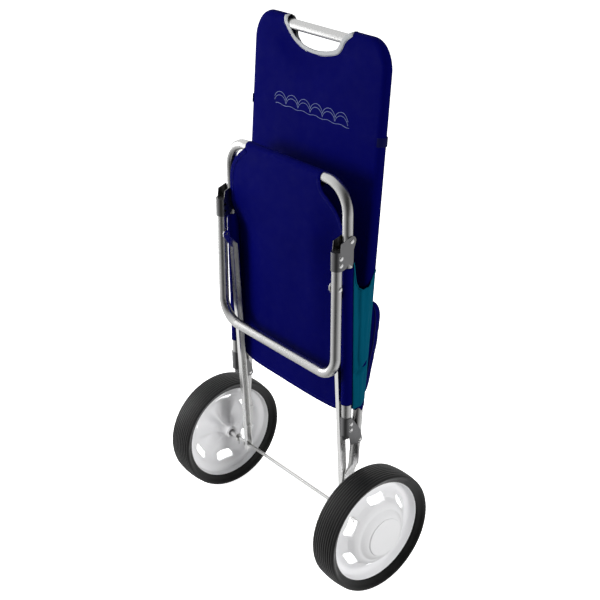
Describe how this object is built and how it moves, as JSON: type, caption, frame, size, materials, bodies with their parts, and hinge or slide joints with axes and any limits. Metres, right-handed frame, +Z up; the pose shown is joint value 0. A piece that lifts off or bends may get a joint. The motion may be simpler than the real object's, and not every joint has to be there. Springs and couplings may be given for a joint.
{
  "type": "folding beach cart",
  "caption": "Two-wheeled folding beach cart with a fabric back, a fold-down seat and a swing-out front leg, stored folded upright.",
  "frame": {"origin": "on the ground, midway between the wheels and straight below the axle", "axes": "+X along the axle, +Y to the rear, +Z up"},
  "size_m": [0.6288, 0.28, 1.1692],
  "materials": {
    "aluminium_tube": "satin anodised tube",
    "aluminium_strut": "mill-finish channel",
    "navy_canvas": "plain-weave polyester canvas, navy",
    "teal_canvas": "plain-weave nylon, turquoise",
    "navy_webbing": "woven elastic tape",
    "grey_binding": "folded grosgrain binding",
    "steel_bracket": "zinc-plated pressing",
    "rivet_steel": "domed rivet",
    "axle_steel": "zinc-plated rod",
    "black_plastic": "moulded",
    "white_plastic": "semi-gloss moulded polypropylene",
    "grey_plastic": "moulded nylon",
    "tyre_rubber": "ribbed semi-pneumatic tyre"
  },
  "bodies": {
    "back_frame": {"back_frame_tube": "aluminium_tube", "back_cover": "navy_canvas", "head_pillow": "navy_canvas", "rear_pouch": "navy_canvas", "pillow_straps": "navy_webbing", "gusset_left": "teal_canvas", "gusset_right": "teal_canvas", "pocket_floor": "navy_canvas", "strut_pivot_rivets": "rivet_steel"},
    "seat": {"seat_tube": "aluminium_tube", "seat_cover": "navy_canvas", "hinge_bracket_left": "steel_bracket", "hinge_bracket_right": "steel_bracket", "hinge_bracket_rivets": "rivet_steel", "seat_hinge_rivets": "rivet_steel", "seat_tube_plugs": "black_plastic"},
    "front_leg": {"leg_tube": "aluminium_tube", "leg_bracket_left": "steel_bracket", "leg_bracket_right": "steel_bracket", "leg_bracket_rivets": "rivet_steel", "leg_hinge_rivets": "rivet_steel", "strut_top_rivets": "rivet_steel", "leg_tube_plugs": "black_plastic"},
    "axle_strut": {"strut_left": "aluminium_strut", "strut_right": "aluminium_strut", "axle": "axle_steel", "axle_collar_left": "axle_steel", "split_pin_left": "axle_steel", "hub_washer_left": "axle_steel", "hub_spacer_left": "axle_steel", "axle_clip_left": "axle_steel", "axle_collar_right": "axle_steel", "split_pin_right": "axle_steel", "hub_washer_right": "axle_steel", "hub_spacer_right": "axle_steel", "axle_clip_right": "axle_steel"},
    "wheel_left": {"tyre_left": "tyre_rubber", "rim_left": "white_plastic", "hub_cap_left": "white_plastic", "hub_bush_left": "grey_plastic"},
    "wheel_right": {"tyre_right": "tyre_rubber", "rim_right": "white_plastic", "hub_cap_right": "white_plastic", "hub_bush_right": "grey_plastic"}
  },
  "joints": [
    {"name": "seat_fold", "type": "hinge", "parent": "back_frame", "child": "seat", "pos_m": [0, 0.016, 0.328], "axis": [1, 0, 0], "range_deg": [0, 82]},
    {"name": "leg_swing", "type": "hinge", "parent": "seat", "child": "front_leg", "pos_m": [0, -0.017, 0.796], "axis": [1, 0, 0], "range_deg": [-99, 0]},
    {"name": "strut_swing", "type": "hinge", "parent": "back_frame", "child": "axle_strut", "pos_m": [0, 0.001, 0.187], "axis": [1, 0, 0], "range_deg": [0, 77]},
    {"name": "wheel_spin_left", "type": "hinge", "parent": "axle_strut", "child": "wheel_left", "pos_m": [-0.264, 0, 0.14], "axis": [1, 0, 0], "continuous": true},
    {"name": "wheel_spin_right", "type": "hinge", "parent": "axle_strut", "child": "wheel_right", "pos_m": [0.264, 0, 0.14], "axis": [1, 0, 0], "continuous": true}
  ],
  "couplings": [
    {"joint": "leg_swing", "follows": "seat_fold", "ratio": -1.1888},
    {"joint": "strut_swing", "follows": "seat_fold", "ratio": 0.91734}
  ]
}
